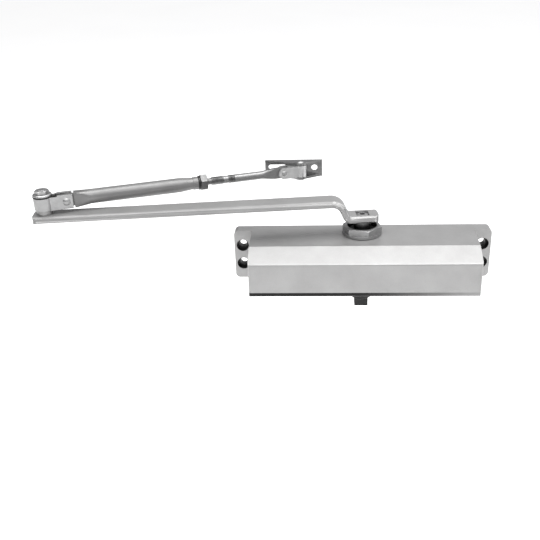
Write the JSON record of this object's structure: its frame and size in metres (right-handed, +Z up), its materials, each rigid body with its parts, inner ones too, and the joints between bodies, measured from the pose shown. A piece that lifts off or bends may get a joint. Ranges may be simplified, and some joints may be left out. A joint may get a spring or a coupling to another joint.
{
  "type": "door closer",
  "caption": "Surface-mounted hydraulic door closer with a rack-and-pinion cylinder body, a cranked main arm, an adjustable jointed forearm and a folded frame bracket.",
  "frame": {"origin": "centre of the four body screw holes, on the face that lies on the door", "axes": "+X along the body away from the arm, +Y into the door, +Z up, towards the arm"},
  "size_m": [0.4243, 0.107, 0.1338],
  "materials": {
    "casting_paint": "satin silver-grey paint over an aluminium casting",
    "arm_paint": "satin silver paint over steel",
    "plated_steel": "bright zinc plate",
    "ground_steel": "ground and oiled",
    "dark_steel": "black oxide",
    "spring_steel": "oil-tempered wire",
    "bronze": "machined",
    "rubber": "matt",
    "ring_plastic": "bronze-filled bearing plastic",
    "black_plastic": "fine moulded texture"
  },
  "bodies": {
    "housing": {"housing": "casting_paint", "bearing_cap_top": "plated_steel", "bearing_cap_bottom": "plated_steel", "spindle_bushes": "bronze", "spindle_seals": "rubber", "end_plug_left": "plated_steel", "end_plug_right": "plated_steel", "plug_orings": "rubber", "valve_orings": "rubber", "adjuster_oring": "rubber", "closing_spring": "spring_steel"},
    "arm": {"pinion_spindle": "ground_steel", "spindle_cap": "black_plastic", "main_arm": "arm_paint", "arm_screw": "plated_steel", "elbow_spacer": "arm_paint", "elbow_stud": "plated_steel", "elbow_collar": "plated_steel", "elbow_nut": "plated_steel"},
    "piston": {"rack_piston": "ground_steel", "piston_ring": "ring_plastic", "check_ball": "ground_steel", "check_spring": "spring_steel", "check_retainer": "bronze"},
    "spring_seat": {"spring_seat": "dark_steel"},
    "adjuster": {"spring_adjuster": "dark_steel"},
    "sweep_valve": {"sweep_valve": "plated_steel"},
    "latch_valve": {"latch_valve": "plated_steel"},
    "knuckle": {"elbow_knuckle": "arm_paint", "forearm_rivet": "plated_steel", "elbow_washer": "black_plastic"},
    "forearm": {"forearm_tube": "arm_paint"},
    "lock_washer": {"lock_washer": "dark_steel"},
    "lock_nut": {"lock_nut": "plated_steel"},
    "rod": {"adjusting_rod": "plated_steel"},
    "rod_knuckle": {"rod_knuckle": "arm_paint", "rod_rivet": "plated_steel"},
    "bracket": {"frame_bracket": "arm_paint", "bracket_rivet": "plated_steel"}
  },
  "joints": [
    {"name": "arm_swing", "type": "hinge", "parent": "housing", "child": "arm", "pos_m": [0, -0.02, 0], "axis": [0, 0, 1], "range_deg": [0, 170], "stiffness_Nm_per_rad": 4, "springref_deg": -85.94},
    {"name": "piston_slide", "type": "slide", "parent": "housing", "child": "piston", "axis": [1, 0, 0], "range_m": [0, 0.0246], "deforming": ["closing_spring"]},
    {"name": "adjuster_turn", "type": "hinge", "parent": "housing", "child": "adjuster", "pos_m": [0.1, -0.0304, 0], "axis": [1, 0, 0], "range_deg": [0, 1728]},
    {"name": "spring_seat_slide", "type": "slide", "parent": "housing", "child": "spring_seat", "axis": [-1, 0, 0], "range_m": [0, 0.0061]},
    {"name": "sweep_valve_turn", "type": "hinge", "parent": "housing", "child": "sweep_valve", "pos_m": [-0.1, -0.057, 0.0085], "axis": [1, 0, 0], "range_deg": [-180, 540]},
    {"name": "latch_valve_turn", "type": "hinge", "parent": "housing", "child": "latch_valve", "pos_m": [-0.1, -0.057, -0.0085], "axis": [1, 0, 0], "range_deg": [-180, 540]},
    {"name": "elbow_swing", "type": "hinge", "parent": "arm", "child": "knuckle", "pos_m": [-0.28982, -0.05559, 0.0715], "axis": [0, 0, 1], "continuous": true},
    {"name": "forearm_tilt", "type": "hinge", "parent": "knuckle", "child": "forearm", "pos_m": [-0.27063, -0.04866, 0.0715], "axis": [-0.3394, 0.9406, 0], "range_deg": [-6, 6]},
    {"name": "lock_washer_slide", "type": "slide", "parent": "forearm", "child": "lock_washer", "axis": [0.9406, 0.3394, 0], "range_m": [0, 0.0038]},
    {"name": "lock_nut_turn", "type": "hinge", "parent": "lock_washer", "child": "lock_nut", "pos_m": [-0.14967, -0.00502, 0.0722], "axis": [0.9406, 0.3394, 0], "range_deg": [0, 1080]},
    {"name": "rod_slide", "type": "slide", "parent": "forearm", "child": "rod", "axis": [0.9406, 0.3394, 0], "range_m": [0, 0.025]},
    {"name": "rod_tilt", "type": "hinge", "parent": "rod", "child": "rod_knuckle", "pos_m": [-0.07564, 0.02169, 0.0722], "axis": [-0.3394, 0.9406, 0], "range_deg": [-8, 8]},
    {"name": "bracket_pivot", "type": "hinge", "parent": "rod_knuckle", "child": "bracket", "pos_m": [-0.05871, 0.0278, 0.0722], "axis": [0, 0, 1], "range_deg": [-160, 18]}
  ],
  "couplings": [
    {"joint": "piston_slide", "follows": "arm_swing", "m_per_rad": 0.00825},
    {"joint": "spring_seat_slide", "follows": "adjuster_turn", "m_per_rad": 0.00019894},
    {"joint": "lock_washer_slide", "follows": "lock_nut_turn", "m_per_rad": 0.00019894}
  ]
}
